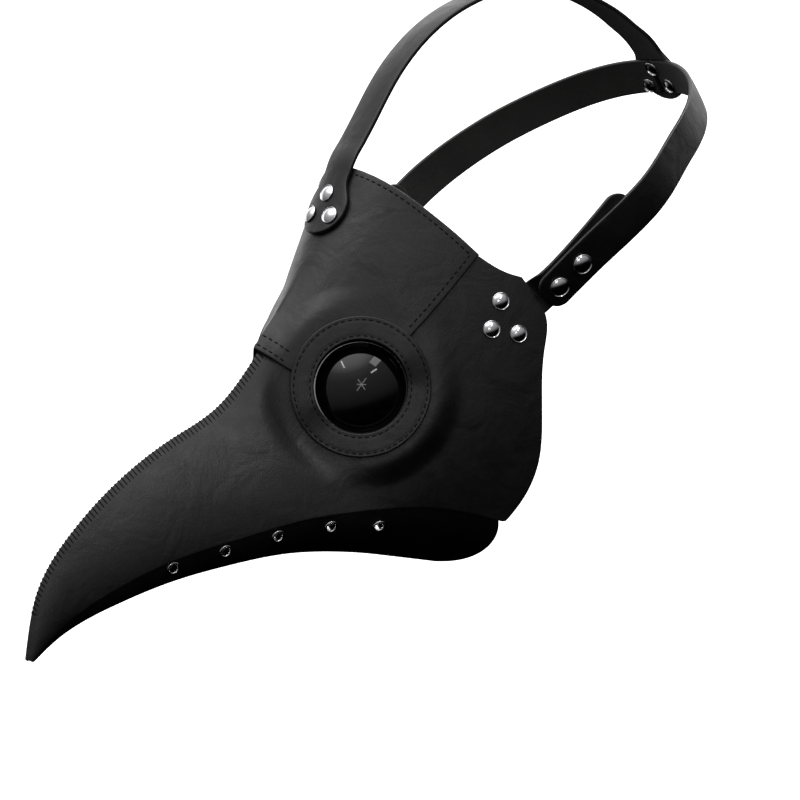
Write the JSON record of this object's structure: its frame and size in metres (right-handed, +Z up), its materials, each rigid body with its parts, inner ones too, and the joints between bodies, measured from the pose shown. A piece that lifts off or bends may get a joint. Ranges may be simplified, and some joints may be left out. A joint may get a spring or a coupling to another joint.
{
  "type": "plague doctor mask",
  "caption": "Black leather beaked mask with domed round lenses, riveted and stitched panels, vent eyelets under the beak, a strap over the head and a press-stud strap round its back.",
  "frame": {"origin": "centre of the wearer's head, taken as an ellipsoid 154 mm wide, 196 mm long and 184 mm high", "axes": "+X to the wearer's left, -Y the way the wearer looks, along which the beak points and droops, +Z up through the crown"},
  "size_m": [0.1668, 0.4265, 0.2342],
  "materials": {
    "black_leather": "smooth vegetable-tanned leather, dyed black and waxed to a soft sheen",
    "nickel_plate": "polished nickel plate",
    "smoked_lens": "polished, nearly black smoked plastic",
    "black_plastic": "plain black plastic"
  },
  "bodies": {
    "mask": {"back_rivet_1": "nickel_plate", "back_rivet_2": "nickel_plate", "back_rivet_3": "nickel_plate", "back_strap_middle": "black_leather", "forehead_panel": "black_leather", "forehead_rivet_1": "nickel_plate", "forehead_rivet_2": "nickel_plate", "forehead_rivet_3": "nickel_plate", "head_strap": "black_leather", "left_cheek_rivet_1": "nickel_plate", "left_cheek_rivet_2": "nickel_plate", "left_cheek_rivet_3": "nickel_plate", "left_eye_ring": "black_leather", "left_eyelet_1": "nickel_plate", "left_eyelet_2": "nickel_plate", "left_eyelet_3": "nickel_plate", "left_eyelet_4": "nickel_plate", "left_eyelet_5": "nickel_plate", "left_lens": "smoked_lens", "left_lens_retaining_ring": "black_plastic", "left_side_panel": "black_leather", "left_tab_root": "black_leather", "right_cheek_rivet_1": "nickel_plate", "right_cheek_rivet_2": "nickel_plate", "right_cheek_rivet_3": "nickel_plate", "right_eye_ring": "black_leather", "right_eyelet_1": "nickel_plate", "right_eyelet_2": "nickel_plate", "right_eyelet_3": "nickel_plate", "right_eyelet_4": "nickel_plate", "right_eyelet_5": "nickel_plate", "right_lens": "smoked_lens", "right_lens_retaining_ring": "black_plastic", "right_side_panel": "black_leather", "right_tab_root": "black_leather", "under_beak_panel": "black_leather"},
    "left_strap": {"left_side_strap": "black_leather", "left_snap_cap_1": "nickel_plate", "left_snap_cap_2": "nickel_plate"},
    "left_tab": {"left_tab_tail": "black_leather", "left_snap_stud_1": "nickel_plate", "left_snap_stud_2": "nickel_plate"},
    "right_strap": {"right_side_strap": "black_leather", "right_snap_cap_1": "nickel_plate", "right_snap_cap_2": "nickel_plate"},
    "right_tab": {"right_tab_tail": "black_leather", "right_snap_stud_1": "nickel_plate", "right_snap_stud_2": "nickel_plate"}
  },
  "joints": [
    {"name": "left_strap_flex", "type": "hinge", "parent": "mask", "child": "left_strap", "pos_m": [0.02705, 0.0921, 0.02043], "axis": [-0.0205, -0.2343, 0.972], "range_deg": [0, 55], "stiffness_Nm_per_rad": 0.03, "springref_deg": -20.05},
    {"name": "right_strap_flex", "type": "hinge", "parent": "mask", "child": "right_strap", "pos_m": [-0.02705, 0.0921, 0.02043], "axis": [-0.0205, 0.2343, -0.972], "range_deg": [0, 55], "stiffness_Nm_per_rad": 0.03, "springref_deg": -20.05},
    {"name": "left_tab_flex", "type": "hinge", "parent": "mask", "child": "left_tab", "pos_m": [0.05992, -0.0543, -0.02716], "axis": [-0.2789, -0.2599, 0.9245], "range_deg": [0, 20], "stiffness_Nm_per_rad": 0.03, "springref_deg": -20.05},
    {"name": "right_tab_flex", "type": "hinge", "parent": "mask", "child": "right_tab", "pos_m": [-0.05992, -0.0543, -0.02716], "axis": [-0.2789, 0.2599, -0.9245], "range_deg": [0, 20], "stiffness_Nm_per_rad": 0.03, "springref_deg": -20.05}
  ]
}
